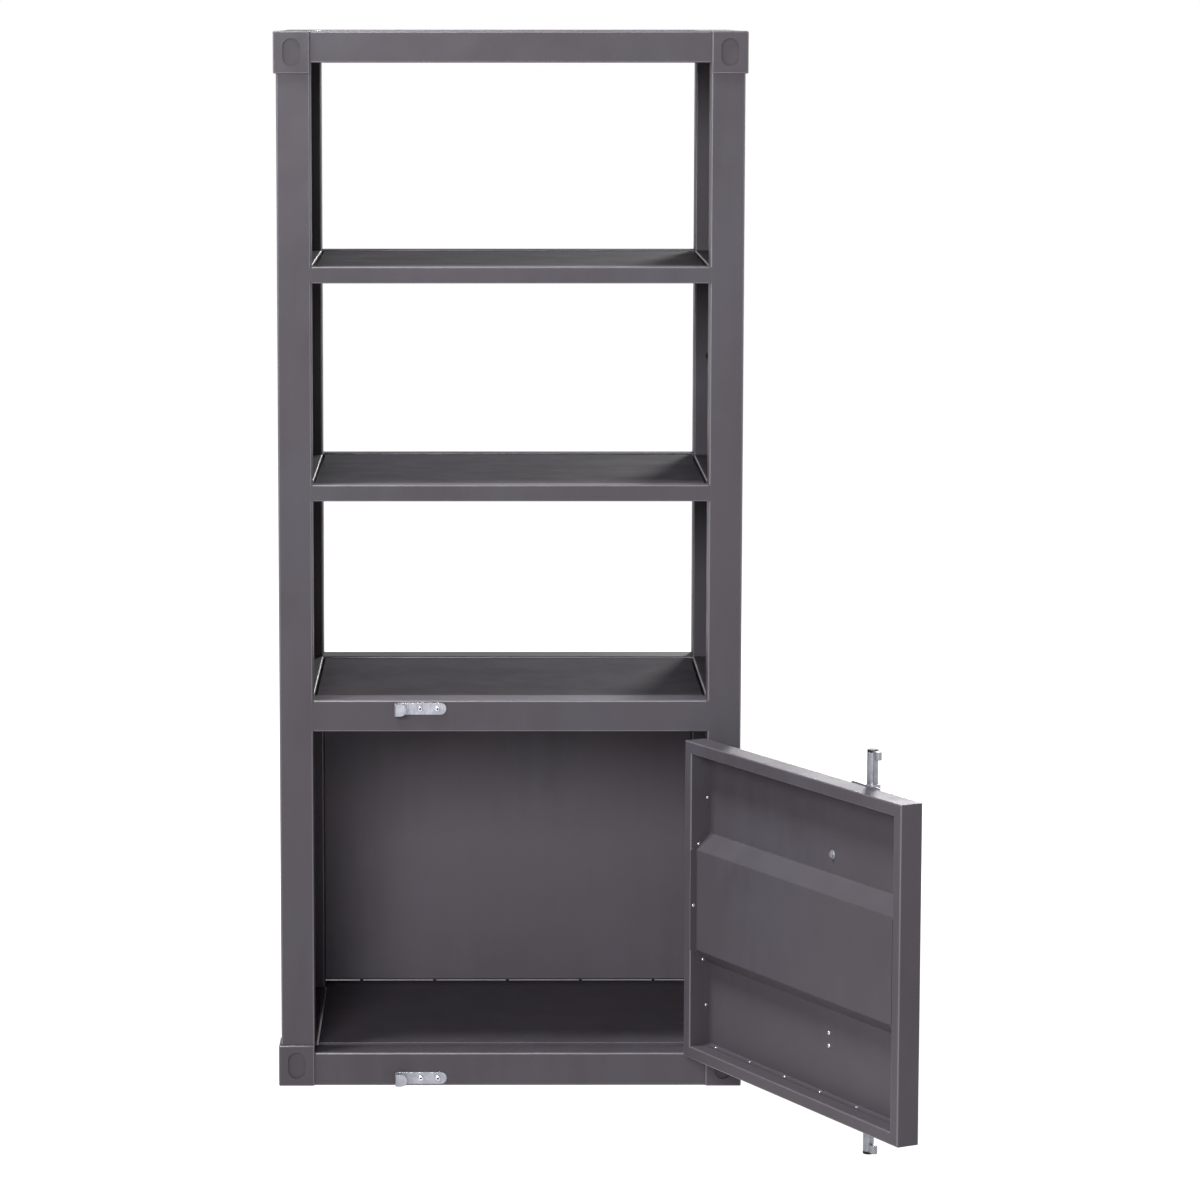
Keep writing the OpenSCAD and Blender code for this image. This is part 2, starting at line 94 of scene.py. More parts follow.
class BookcaseSettings(bpy.types.PropertyGroup):
    """Sizes and colours that a user would change."""

    paint_colour: bpy.props.FloatVectorProperty(
        name="Paint", description="Gunmetal paint of the carcass and the door",
        default=(0.038, 0.0345, 0.041), size=3, subtype="COLOR", min=0, max=1)
    zinc_colour: bpy.props.FloatVectorProperty(
        name="Zinc", description="Silver finish of the lock bar, keepers and screws",
        default=(0.235, 0.24, 0.27), size=3, subtype="COLOR", min=0, max=1)
    trim_colour: bpy.props.FloatVectorProperty(
        name="Black trim", description="Plastic end caps of the lock bar",
        default=(0.006, 0.006, 0.007), size=3, subtype="COLOR", min=0, max=1)
    tube_radius: bpy.props.FloatProperty(
        name="Tube corner", description="Outer corner radius of the wide square tubes",
        default=2.4 * MM, min=0.5 * MM, max=5 * MM, unit="LENGTH")
    small_tube_radius: bpy.props.FloatProperty(
        name="Shelf tube corner", description="Outer corner radius of the shelf tubes",
        default=1.8 * MM, min=0.5 * MM, max=4 * MM, unit="LENGTH")
    tube_wall: bpy.props.FloatProperty(
        name="Tube wall", description="Wall thickness of every square tube",
        default=1.5 * MM, min=0.8 * MM, max=3 * MM, unit="LENGTH")
    casting_edge: bpy.props.FloatProperty(
        name="Casting edge", description="Rounding of the corner castings' edges",
        default=1.8 * MM, min=0.2 * MM, max=2.5 * MM, unit="LENGTH")
    sheet_edge: bpy.props.FloatProperty(
        name="Sheet edge", description="Rounding of the folded sheets' edges",
        default=0.55 * MM, min=0.1 * MM, max=0.7 * MM, unit="LENGTH")
    fold_radius: bpy.props.FloatProperty(
        name="Fold radius", description="Radius of the folds in the door's pressed skin",
        default=2.6 * MM, min=1 * MM, max=6 * MM, unit="LENGTH")
    wave_count: bpy.props.IntProperty(
        name="Waves", description="Pressed waves in each side wall",
        default=4, min=1, max=8)


def settings():
    return bpy.context.scene.bookcase


# ---- The closed door's own frame ----

def closed_to_rest():
    """The turn from the closed door to the angle at which it rests."""
    hinge = JOINTS["door_hinge"]
    pivot = Matrix.Translation(hinge["pos_m"])
    turn = Matrix.Rotation(-math.radians(hinge["range_deg"][0]), 4, Vector(hinge["axis"]))
    return pivot @ turn @ pivot.inverted()


def closed_points(node):
    """A door node's points as they stand when the door is closed."""
    back = closed_to_rest().inverted()
    return [back @ vertex.co for vertex in frame["nodes"][node].data.vertices]


def extent(points):
    """Lowest and highest corner of some points."""
    low = Vector(min(p[i] for p in points) for i in range(3))
    high = Vector(max(p[i] for p in points) for i in range(3))
    return low, high


def closed_box(node):
    return extent(closed_points(node))


# ---- Material nodes ----

def add_node(tree, kind, **inputs):
    """Adds a node and sets its inputs, where an input may be a value or another socket."""
    node = tree.nodes.new(kind)
    for name, value in inputs.items():
        socket = node.inputs[name.replace("_", " ")]
        if isinstance(value, bpy.types.NodeSocket):
            tree.links.new(value, socket)
        else:
            socket.default_value = value
    return node


def new_material(name):
    material = bpy.data.materials.new(name)
    material.use_nodes = True
    tree = material.node_tree
    shader = tree.nodes["Principled BSDF"]
    return material, tree, shader


def object_point(tree, scale=(1, 1, 1)):
    """Object coordinates, stretched by a scale."""
    where = tree.nodes.new("ShaderNodeTexCoord")
    mapping = add_node(tree, "ShaderNodeMapping", Vector=where.outputs["Object"])
    mapping.inputs["Scale"].default_value = scale
    return mapping.outputs["Vector"]


def noise(tree, point, scale, detail=3.0, roughness=0.5):
    node = add_node(tree, "ShaderNodeTexNoise", Vector=point, Scale=scale, Detail=detail,
                    Roughness=roughness)
    return node.outputs["Fac"]


def spread(tree, value, low, high, to_low=0.0, to_high=1.0):
    """Maps a value's range to another, smoothly and clamped."""
    node = add_node(tree, "ShaderNodeMapRange", Value=value)
    node.interpolation_type = "SMOOTHSTEP"
    node.inputs["From Min"].default_value = low
    node.inputs["From Max"].default_value = high
    node.inputs["To Min"].default_value = to_low
    node.inputs["To Max"].default_value = to_high
    return node.outputs["Result"]


def maths(tree, operation, first, second):
    node = tree.nodes.new("ShaderNodeMath")
    node.operation = operation
    for socket, value in zip(node.inputs, (first, second)):
        if isinstance(value, bpy.types.NodeSocket):
            tree.links.new(value, socket)
        else:
            socket.default_value = value
    return node.outputs["Value"]


def blend_colours(tree, share, first, second):
    node = tree.nodes.new("ShaderNodeMix")
    node.data_type = "RGBA"
    tree.links.new(share, node.inputs["Factor"])
    for socket, value in ((node.inputs[6], first), (node.inputs[7], second)):
        if isinstance(value, bpy.types.NodeSocket):
            tree.links.new(value, socket)
        else:
            socket.default_value = (*value, 1)
    return node.outputs[2]


def add_bump(tree, shader, height, strength, distance):
    node = add_node(tree, "ShaderNodeBump", Height=height, Strength=strength, Distance=distance)
    tree.links.new(node.outputs["Normal"], shader.inputs["Normal"])


def tint(colour, factors):
    return tuple(min(1.0, channel * factor) for channel, factor in zip(colour, factors))


def gunmetal_paint(name, lift=1.0, gloss=0.0, metal=0.03, specular=0.12):
    """Satin gunmetal paint: a cloudy tone, faint rubbed streaks and a fine orange peel."""
    material, tree, shader = new_material(name)
    colour = settings().paint_colour
    # lift brightens the whole paint: the lifted copies made from it are painted highlight and painted
    # light, not other paints.
    dark = tint(colour, (0.90 * lift, 0.88 * lift, 0.88 * lift))
    pale = tint(colour, (1.07 * lift, 1.09 * lift, 1.10 * lift))
    warm = tint(colour, (1.08 * lift, 1.00 * lift, 1.01 * lift))
    plain = object_point(tree)
    streaked = object_point(tree, (1.0, 1.0, 0.16))
    clouds = noise(tree, plain, 4.5, 4.0, 0.55)
    rubbed = noise(tree, streaked, 34.0, 3.0, 0.6)
    tone = spread(tree, maths(tree, "ADD", maths(tree, "MULTIPLY", clouds, 0.7),
                              maths(tree, "MULTIPLY", rubbed, 0.3)), 0.36, 0.64)
    base = blend_colours(tree, tone, dark, pale)
    warmth = spread(tree, noise(tree, plain, 3.1, 2.0), 0.42, 0.68, 0.0, 0.75)
    speck = spread(tree, noise(tree, plain, 520.0, 2.0, 0.6), 0.60, 0.78, 0.0, 0.22)
    mixed = blend_colours(tree, warmth, base, warm)
    flecked = blend_colours(tree, speck, mixed, tint(colour, (2.0 * lift, 2.0 * lift, 2.1 * lift)))
    tree.links.new(flecked, shader.inputs["Base Color"])
    patches = noise(tree, plain, 14.0, 4.0, 0.6)
    rough = spread(tree, patches, 0.3, 0.7, 0.44 - gloss, 0.54 - gloss)
    tree.links.new(rough, shader.inputs["Roughness"])
    shader.inputs["Metallic"].default_value = metal
    shader.inputs["Specular IOR Level"].default_value = specular
    peel = noise(tree, plain, 620.0, 2.0, 0.5)
    dents = noise(tree, plain, 22.0, 1.0, 0.4)
    height = maths(tree, "ADD", maths(tree, "MULTIPLY", peel, 0.16), dents)
    add_bump(tree, shader, height, 0.22, 0.5 * MM)
    return material


def zinc_plate(name, lift=1.0, rough_low=0.26, rough_high=0.44):
    """Satin silver plate with a soft mottle and fine brushing."""
    material, tree, shader = new_material(name)
    colour = settings().zinc_colour
    plain = object_point(tree)
    brushed = object_point(tree, (1.0, 1.0, 0.05))
    mottle = spread(tree, noise(tree, plain, 70.0, 4.0, 0.6), 0.34, 0.66)
    # lift scales the whole plate: the darker copy for the lock bar is painted shade, the brighter copy
    # a painted highlight on rounded edges.
    base = blend_colours(tree, mottle, tint(colour, (0.84 * lift, 0.84 * lift, 0.85 * lift)),
                         tint(colour, (1.1 * lift, 1.1 * lift, 1.1 * lift)))
    tree.links.new(base, shader.inputs["Base Color"])
    fine = noise(tree, brushed, 900.0, 2.0)
    tree.links.new(spread(tree, fine, 0.3, 0.7, rough_low, rough_high), shader.inputs["Roughness"])
    shader.inputs["Metallic"].default_value = 0.75
    add_bump(tree, shader, fine, 0.12, 0.1 * MM)
    return material


def black_trim(name):
    """Moulded black plastic with a fine grain."""
    material, tree, shader = new_material(name)
    colour = settings().trim_colour
    plain = object_point(tree)
    wear = spread(tree, noise(tree, plain, 180.0, 3.0), 0.45, 0.75)
    tree.links.new(blend_colours(tree, wear, tuple(colour), tint(colour, (2.2, 2.2, 2.2))),
                   shader.inputs["Base Color"])
    tree.links.new(spread(tree, noise(tree, plain, 90.0), 0.3, 0.7, 0.42, 0.58),
                   shader.inputs["Roughness"])
    shader.inputs["Specular IOR Level"].default_value = 0.15
    add_bump(tree, shader, noise(tree, plain, 1500.0, 2.0), 0.3, 0.08 * MM)
    return material


def floor_white(name):
    """Matt white studio floor with the faintest unevenness."""
    material, tree, shader = new_material(name)
    plain = object_point(tree)
    base = blend_colours(tree, noise(tree, plain, 0.6), (0.19, 0.18, 0.17), (0.21, 0.20, 0.19))
    tree.links.new(base, shader.inputs["Base Color"])
    shader.inputs["Roughness"].default_value = 0.9
    shader.inputs["Specular IOR Level"].default_value = 0.1
    shader.inputs["Emission Color"].default_value = (1, 1, 1, 1)
    shader.inputs["Emission Strength"].default_value = 0.92
    return material


def shared(name):
    """A material by name, made when it is first asked for."""
    makers = {
        "gunmetal": lambda: gunmetal_paint("gunmetal"),
        # A lighter, glossier copy of the paint for rounded edges: a painted highlight along every edge.
        "gunmetal_edge": lambda: gunmetal_paint("gunmetal_edge", 1.8, 0.12, 0.2, 0.5),
        # Matt copy for the trays: less shine, and its colour lifted 1.3, which is painted light on the
        # trays.
        "gunmetal_matt": lambda: gunmetal_paint("gunmetal_matt", 1.3, -0.15, 0.0, 0.02),
        # Copy for the cabinet's back panel, its colour lifted 1.75: painted light in the shaded
        # cabinet.
        "gunmetal_back": lambda: gunmetal_paint("gunmetal_back", 1.75),
        "zinc": lambda: zinc_plate("zinc"),
        # Brighter, glossier zinc: the whole finish of screw heads, hinge pins and the knob, and on the
        # zinc pieces' rounded edges a painted highlight.
        "zinc_bright": lambda: zinc_plate("zinc_bright", 1.9, 0.18, 0.30),
        # A darker copy of the zinc for the lock bar, its lugs and handle: painted shade; their rounded
        # edges keep the plain zinc, lighter.
        "zinc_bar": lambda: zinc_plate("zinc_bar", 0.85, 0.22, 0.38),
        # Black: the real colour of the back panel's black screws, and in the zinc heads' sockets
        # painted shade in the recess.
        "socket_black": lambda: black_trim("socket_black"),
        "cap_black": lambda: black_trim("cap_black"),
    }
    return bpy.data.materials.get(name) or makers[name]()


# Each pair is a face finish and an edge finish; the edge finish is lighter, a painted highlight on the
# rounded edges.
PAINT = ("gunmetal", "gunmetal_edge")
MATT_PAINT_PAINTED_LIGHT = ("gunmetal_matt", "gunmetal_edge")
BACK_PAINT_PAINTED_LIGHT = ("gunmetal_back", "gunmetal_edge")
# Zinc faces with brighter zinc on the rounded edges: a painted highlight.
ZINC = ("zinc", "zinc_bright")
BAR_ZINC_PAINTED_SHADE = ("zinc_bar", "zinc")


# ---- Mesh helpers ----

def object_from(name, bm, materials, matrix=None):
    """Makes an object at the origin from a bmesh, and frees the bmesh."""
    if matrix is not None:
        bm.transform(matrix)
    mesh = bpy.data.meshes.new(name)
    bm.to_mesh(mesh)
    bm.free()
    for material in materials:
        mesh.materials.append(shared(material))
    piece = bpy.data.objects.new(name, mesh)
    bpy.context.scene.collection.objects.link(piece)
    return piece


def settle(piece):
    """Turns a piece and its modifiers into a plain mesh."""
    bpy.context.view_layer.update()
    graph = bpy.context.evaluated_depsgraph_get()
    plain = bpy.data.meshes.new_from_object(piece.evaluated_get(graph), depsgraph=graph)
    old = piece.data
    piece.modifiers.clear()
    piece.data = plain
    bpy.data.meshes.remove(old)
    plain.name = piece.name
    return piece


def soften(piece, sharp_deg=32):
    """Smooth shading with flat faces kept flat."""
    for polygon in piece.data.polygons:
        polygon.use_smooth = True
    piece.data.set_sharp_from_angle(angle=math.radians(sharp_deg))
    weighted = piece.modifiers.new("Weighted normals", "WEIGHTED_NORMAL")
    weighted.keep_sharp = True
    return settle(piece)


def install(piece, body, slot, *replaced):
    """Hands a finished piece to the frame."""
    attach(piece, body)
    if replaced:
        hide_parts(*replaced)
    return piece


def merged_copy(node):
    """A joined-up copy of a CAD node's loose triangles, with its flat faces whole."""
    bm = bmesh.new()
    bm.from_mesh(frame["nodes"][node].data)
    bmesh.ops.remove_doubles(bm, verts=bm.verts, dist=0.002 * MM)
    bmesh.ops.dissolve_limit(bm, angle_limit=math.radians(0.4), verts=bm.verts, edges=bm.edges)
    for face in bm.faces:
        face.material_index = 0
    return bm


def rounded_copy(node, materials, radius, segments=2, sharp_deg=35):
    """A copy of a CAD node with its sharp edges rounded."""
    piece = object_from(node + "_finished", merged_copy(node), materials)
    bevel = piece.modifiers.new("Edges", "BEVEL")
    bevel.width = radius
    bevel.segments = segments
    bevel.limit_method = "ANGLE"
    bevel.angle_limit = math.radians(sharp_deg)
    # The rounded faces take the last material in the list; where there are two, the lighter edge
    # finish: a painted highlight.
    bevel.material = len(materials) - 1
    bevel.use_clamp_overlap = True
    settle(piece)
    return soften(piece)


def edged_copy(node, materials, radius, shortest, sharp_deg=35):
    """A copy of a CAD node with only its long sharp edges rounded."""
    bm = merged_copy(node)
    edges = [edge for edge in bm.edges if edge.calc_length() > shortest
             and edge.calc_face_angle(0) > math.radians(sharp_deg)]
    # The rounded faces take the last material, the lighter edge finish: a painted highlight.
    bmesh.ops.bevel(bm, geom=edges, offset=radius, segments=3, profile=0.5, affect="EDGES",
                    material=len(materials) - 1, clamp_overlap=False)
    return soften(object_from(node + "_finished", bm, materials))


def islands(points_mesh):
    """Groups of joined vertices of a bmesh, as lists of points."""
    seen = set()
    groups = []
    for start in points_mesh.verts:
        if start in seen:
            continue
        seen.add(start)
        stack = [start]
        group = []
        while stack:
            vertex = stack.pop()
            group.append(vertex.co.copy())
            for edge in vertex.link_edges:
                other = edge.other_vert(vertex)
                if other not in seen:
                    seen.add(other)
                    stack.append(other)
        groups.append(group)
    return groups


def solid_boxes(node, back=None):
    """The box of each separate solid of a CAD node, after an optional turn."""
    bm = bmesh.new()
    bm.from_mesh(frame["nodes"][node].data)
    if back is not None:
        bm.transform(back)
    bmesh.ops.remove_doubles(bm, verts=bm.verts, dist=0.002 * MM)
    boxes = [extent(group) for group in islands(bm)]
    bm.free()
    return boxes


# ---- Square tubes ----

def rounded_ring(low, high, radius, steps=5):
    """Points round a rectangle with arcs at its corners, anticlockwise, each with an arc flag."""
    corners = (
        (high[0] - radius, high[1] - radius, 0),
        (low[0] + radius, high[1] - radius, 90),
        (low[0] + radius, low[1] + radius, 180),
        (high[0] - radius, low[1] + radius, 270),
    )
    ring = []
    for cx, cy, start in corners:
        for step in range(steps + 1):
            angle = math.radians(start + 90 * step / steps)
            on_arc = step < steps
            ring.append((cx + radius * math.cos(angle), cy + radius * math.sin(angle), on_arc))
    return ring


def add_tube(bm, low, high, run, wall, radius, mitre=None):
    """Adds a hollow square tube with rounded corners.

    mitre is (cross axis, outer value): both ends are then cut at 45 degrees, and the tube is
    at its full length where the cross axis has its outer value.
    """
    first, second = (run + 1) % 3, (run + 2) % 3
    outer = rounded_ring((low[first], low[second]), (high[first], high[second]), radius)
    inner = rounded_ring(
        (low[first] + wall, low[second] + wall), (high[first] - wall, high[second] - wall),
        max(radius - wall, 0.3 * MM))

    def ring_verts(ring, at_high):
        verts = []
        for a, b, _ in ring:
            point = Vector((0, 0, 0))
            point[first], point[second] = a, b
            cut = abs(point[mitre[0]] - mitre[1]) if mitre else 0.0
            point[run] = high[run] - cut if at_high else low[run] + cut
            verts.append(bm.verts.new(point))
        return verts

    o0, o1 = ring_verts(outer, False), ring_verts(outer, True)
    n0, n1 = ring_verts(inner, False), ring_verts(inner, True)
    count = len(outer)
    for i in range(count):
        j = (i + 1) % count
        side = bm.faces.new((o0[i], o0[j], o1[j], o1[i]))
        # The corner arcs take the second material, the lighter edge finish: a painted highlight along
        # the tube's edges.
        side.material_index = 1 if outer[i][2] else 0
        bm.faces.new((n0[j], n0[i], n1[i], n1[j]))
        bm.faces.new((o0[j], o0[i], n0[i], n0[j]))
        bm.faces.new((o1[i], o1[j], n1[j], n1[i]))


def tube_piece(node, run, radius):
    """Replaces a CAD tube node, or a pair of tubes, with rounded tubes."""
    bm = bmesh.new()
    for low, high in solid_boxes(node):
        add_tube(bm, low, high, run, settings().tube_wall, radius)
    return object_from(node + "_tube", bm, PAINT)


def cut_access_hole(piece, low, high):
    """Cuts the round hole in the front wall of a rear post, where the CAD post has it."""
    bm = bmesh.new()
    bmesh.ops.create_cone(bm, cap_ends=True, segments=40, radius1=ACCESS_HOLE_RADIUS,
                          radius2=ACCESS_HOLE_RADIUS, depth=8 * MM)
    spot = Vector(((low.x + high.x) / 2, low.y, ACCESS_HOLE_HEIGHT))
    turn = Matrix.Rotation(math.radians(90), 4, "X")
    cutter = object_from("hole_cutter", bm, PAINT, Matrix.Translation(spot) @ turn)
    boolean = piece.modifiers.new("Hole", "BOOLEAN")
    boolean.operation = "DIFFERENCE"
    boolean.solver = "EXACT"
    boolean.object = cutter
    settle(piece)
    bpy.data.objects.remove(cutter)


# ---- Sheets ----

def fillet(points, radius, steps=5):
    """A polyline with each inner corner replaced by an arc."""
    path = [Vector(points[0])]
    for before, corner, after in zip(points, points[1:], points[2:]):
        before, corner, after = Vector(before), Vector(corner), Vector(after)
        back, ahead = (before - corner), (after - corner)
        half = back.angle(ahead) / 2
        reach = min(radius / math.tan(half), back.length * 0.48, ahead.length * 0.48)
        arc_radius = reach * math.tan(half)
        start = corner + back.normalized() * reach
        end = corner + ahead.normalized() * reach
        centre = corner + (back.normalized() + ahead.normalized()).normalized() * (
            arc_radius / math.sin(half))
        for step in range(steps + 1):
            share = step / steps
            spoke = (start - centre).slerp(end - centre, share)
            path.append(centre + spoke.normalized() * arc_radius)
    path.append(Vector(points[-1]))
    return path


def solidify(piece, thickness, offset):
    wall = piece.modifiers.new("Thickness", "SOLIDIFY")
    wall.thickness = thickness
    wall.offset = offset
    wall.use_even_offset = True
    return settle(piece)


# ---- Geometry Nodes ----

def new_tree(name, sockets):
    """A geometry tree with a geometry input and output, and the named inputs."""
    tree = bpy.data.node_groups.new(name, "GeometryNodeTree")
    interface = tree.interface
    interface.new_socket("Geometry", in_out="INPUT", socket_type="NodeSocketGeometry")
    for socket_name, kind in sockets:
        interface.new_socket(socket_name, in_out="INPUT", socket_type=kind)
    interface.new_socket("Geometry", in_out="OUTPUT", socket_type="NodeSocketGeometry")
    tree.nodes.new("NodeGroupInput").name = "In"
    tree.nodes.new("NodeGroupOutput").name = "Out"
    return tree


def finish_tree(tree, geometry, material=None):
    """Ends a tree in Realize Instances, and in Set Material unless its parts have their own."""
    realize = tree.nodes.new("GeometryNodeRealizeInstances")
    tree.links.new(geometry, realize.inputs[0])
    last = realize.outputs[0]
    if material is not None:
        painted = add_node(tree, "GeometryNodeSetMaterial", Geometry=last, Material=material)
        last = painted.outputs[0]
    tree.links.new(last, tree.nodes["Out"].inputs[0])


def run_tree(piece, tree, values):
    """Runs a tree on a piece with its named inputs, and keeps the result as a plain mesh."""
    modifier = piece.modifiers.new(tree.name, "NODES")
    modifier.node_group = tree
    for item in tree.interface.items_tree:
        if item.item_type == "SOCKET" and item.in_out == "INPUT" and item.name in values:
            modifier[item.identifier] = values[item.name]
    return settle(piece)


def scatter_tree():
    """Puts one scaled copy of a head on each point, turned to the point's own direction."""
    tree = bpy.data.node_groups.get("Heads on points")
    if tree:
        return tree
    tree = new_tree("Heads on points", (
        ("Head", "NodeSocketObject"), ("Radius", "NodeSocketFloat")))
    given = tree.nodes["In"].outputs
    points = tree.nodes.new("GeometryNodeMeshToPoints")
    head = tree.nodes.new("GeometryNodeObjectInfo")
    facing = tree.nodes.new("GeometryNodeInputNamedAttribute")
    facing.data_type = "FLOAT_VECTOR"
    facing.inputs["Name"].default_value = "facing"
    aim = tree.nodes.new("FunctionNodeAlignRotationToVector")
    aim.axis = "Z"
    place = tree.nodes.new("GeometryNodeInstanceOnPoints")
    tree.links.new(given["Geometry"], points.inputs["Mesh"])
    tree.links.new(given["Head"], head.inputs["Object"])
    tree.links.new(facing.outputs["Attribute"], aim.inputs["Vector"])
    tree.links.new(points.outputs[0], place.inputs["Points"])
    tree.links.new(head.outputs["Geometry"], place.inputs["Instance"])
    tree.links.new(aim.outputs["Rotation"], place.inputs["Rotation"])
    tree.links.new(given["Radius"], place.inputs["Scale"])
    finish_tree(tree, place.outputs[0])
    return tree


def wave_tree():
    """Presses a flat vertical sheet into waves along its depth."""
    tree = new_tree("Pressed waves", (
        ("Pitch", "NodeSocketFloat"), ("Start", "NodeSocketFloat"),
        ("Depth", "NodeSocketFloat"), ("Material", "NodeSocketMaterial")))
    given = tree.nodes["In"].outputs
    position = tree.nodes.new("GeometryNodeInputPosition")
    split = tree.nodes.new("ShaderNodeSeparateXYZ")
    tree.links.new(position.outputs[0], split.inputs[0])
    along = maths(tree, "SUBTRACT", split.outputs["Y"], given["Start"])
    phase = maths(tree, "FRACT", maths(tree, "DIVIDE", along, given["Pitch"]), 0.0)
    from_middle = maths(tree, "ABSOLUTE", maths(tree, "SUBTRACT", phase, 0.5), 0.0)
    ramp = tree.nodes.new("ShaderNodeMapRange")
    ramp.interpolation_type = "SMOOTHSTEP"
    tree.links.new(from_middle, ramp.inputs["Value"])
    ramp.inputs["From Min"].default_value = 0.15
    ramp.inputs["From Max"].default_value = 0.33
    ramp.inputs["To Min"].default_value = 1.0
    ramp.inputs["To Max"].default_value = 0.0
    push = maths(tree, "MULTIPLY", ramp.outputs["Result"], given["Depth"])
    offset = tree.nodes.new("ShaderNodeCombineXYZ")
    tree.links.new(push, offset.inputs["X"])
    move = tree.nodes.new("GeometryNodeSetPosition")
    tree.links.new(given["Geometry"], move.inputs["Geometry"])
    tree.links.new(offset.outputs[0], move.inputs["Offset"])
    finish_tree(tree, move.outputs[0], given["Material"])
    return tree


# ---- Screw heads ----

def lathe(outline, steps=28):
    """A bmesh turned about Z from an outline of (radius, height) that starts and ends at r = 0."""
    bm = bmesh.new()
    rings = []
    for radius, height in outline:
        if radius < 1e-7:
            rings.append([bm.verts.new((0, 0, height))])
            continue
        rings.append([bm.verts.new((radius * math.cos(2 * math.pi * i / steps),
                                    radius * math.sin(2 * math.pi * i / steps), height))
                      for i in range(steps)])
    for lower, upper in zip(rings, rings[1:]):
        for i in range(steps):
            j = (i + 1) % steps
            loop = [lower[i % len(lower)], lower[j % len(lower)],
                    upper[j % len(upper)], upper[i % len(upper)]]
            corners = list(dict.fromkeys(loop))
            if len(corners) > 2:
                bm.faces.new(corners)
    bmesh.ops.recalc_face_normals(bm, faces=bm.faces)
    return bm


def button_head(name, height, socket_radius, socket_depth):
    """A domed head of unit radius with a six-sided socket, whose back is at z = 0."""
    arc = 7
    dome = [(math.cos(math.radians(90 * k / arc)), math.sin(math.radians(90 * k / arc)))
            for k in range(arc + 1)]
    rim = 0.16 * height
    rounded = [(0.96, 0.0), (1.0, 0.04)]
    rounded += [(c, rim + (height - rim) * s) for c, s in dome if c > socket_radius + 0.04]
    top = rim + (height - rim) * math.sqrt(1 - socket_radius ** 2)
    bm = bmesh.new()
    steps = 24
    rings = []
    for radius, level in rounded + [(socket_radius, top)]:
        rings.append([bm.verts.new((radius * math.cos(2 * math.pi * i / steps),
                                    radius * math.sin(2 * math.pi * i / steps), level))
                      for i in range(steps)])

    def hexagon(angle, scale):
        """Distance from the centre to a hexagon's side at an angle."""
        sixth = math.pi / 3
        off = (angle % sixth) - sixth / 2
        return scale * math.cos(sixth / 2) / math.cos(off)

    for level, scale in ((top - 0.02, 0.97), (top - socket_depth, 0.94)):
        ring = []
        for i in range(steps):
            angle = 2 * math.pi * i / steps
            radius = hexagon(angle, socket_radius * scale)
            ring.append(bm.verts.new((radius * math.cos(angle), radius * math.sin(angle), level)))
        rings.append(ring)
    for number, (lower, upper) in enumerate(zip(rings, rings[1:])):
        for i in range(steps):
            j = (i + 1) % steps
            face = bm.faces.new((lower[i], lower[j], upper[j], upper[i]))
            # The socket's walls, and below its floor, take the black second material: painted shade in
            # the recess.
            face.material_index = 1 if number == len(rings) - 2 else 0
    bm.faces.new(list(reversed(rings[0])))
    bm.faces.new(rings[-1]).material_index = 1
    bmesh.ops.recalc_face_normals(bm, faces=bm.faces)
    return object_from(name, bm, ("zinc_bright", "socket_black"))


def heads_on(name, spots, head, radius):
    """One mesh with a head on each (point, direction)."""
    mesh = bpy.data.meshes.new(name)
    mesh.from_pydata([point for point, _ in spots], [], [])
    facing = mesh.attributes.new("facing", "FLOAT_VECTOR", "POINT")
    for item, (_, direction) in zip(facing.data, spots):
        item.vector = direction
    piece = bpy.data.objects.new(name, mesh)
    bpy.context.scene.collection.objects.link(piece)
    run_tree(piece, scatter_tree(), {"Head": head, "Radius": radius})
    for attribute in [a for a in piece.data.attributes if a.name == "facing"]:
        piece.data.attributes.remove(attribute)
    return soften(piece, 40)


def screw_spots(node, direction, back=None):
    """Where the heads of a CAD screw node stand: the face centre behind each head."""
    spots = []
    for low, high in solid_boxes(node, back):
        middle = (low + high) / 2
        axis = max(range(3), key=lambda i: abs(direction[i]))
        middle[axis] = low[axis] if direction[axis] > 0 else high[axis]
        spots.append((middle, Vector(direction)))
    return spots


# ---- Operators ----

class BOOKCASE_OT_posts(bpy.types.Operator):
    """Make the four posts of rounded square tube"""

    bl_idname = "bookcase.posts"
    bl_label = "Posts"

    def execute(self, context):
        for row in ("front", "rear"):
            for side in ("left", "right"):
                node = f"post_{row}_{side}"
                piece = tube_piece(node, Z, settings().tube_radius)
                if row == "rear":
                    cut_access_hole(piece, *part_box(node))
                soften(piece)
                install(piece, "carcass", "gunmetal_paint", node)
        return {"FINISHED"}


class BOOKCASE_OT_rails(bpy.types.Operator):
    """Make the rails between the posts"""

    bl_idname = "bookcase.rails"
    bl_label = "Rails"

    def execute(self, context):
        wide, small = settings().tube_radius, settings().small_tube_radius
        runs = [(node, X, wide) for node in WIDE_RAILS]
        runs += [(node, X, small) for node in SHELF_RAILS]
        runs += [(node, Y, small if "shelf" in node else wide) for node in SIDE_RAILS]
        for node, run, radius in runs:
            piece = tube_piece(node, run, radius)
            soften(piece)
            install(piece, "carcass", "gunmetal_paint", node)
        return {"FINISHED"}


class BOOKCASE_OT_castings(bpy.types.Operator):
    """Make the eight corner castings with their oval holes"""

    bl_idname = "bookcase.castings"
    bl_label = "Corner castings"

    def execute(self, context):
        for node in sorted(frame["nodes"]):
            if node.startswith("casting_"):
                piece = edged_copy(node, PAINT, settings().casting_edge, 12 * MM)
                install(piece, "carcass", "gunmetal_paint", node)
        return {"FINISHED"}


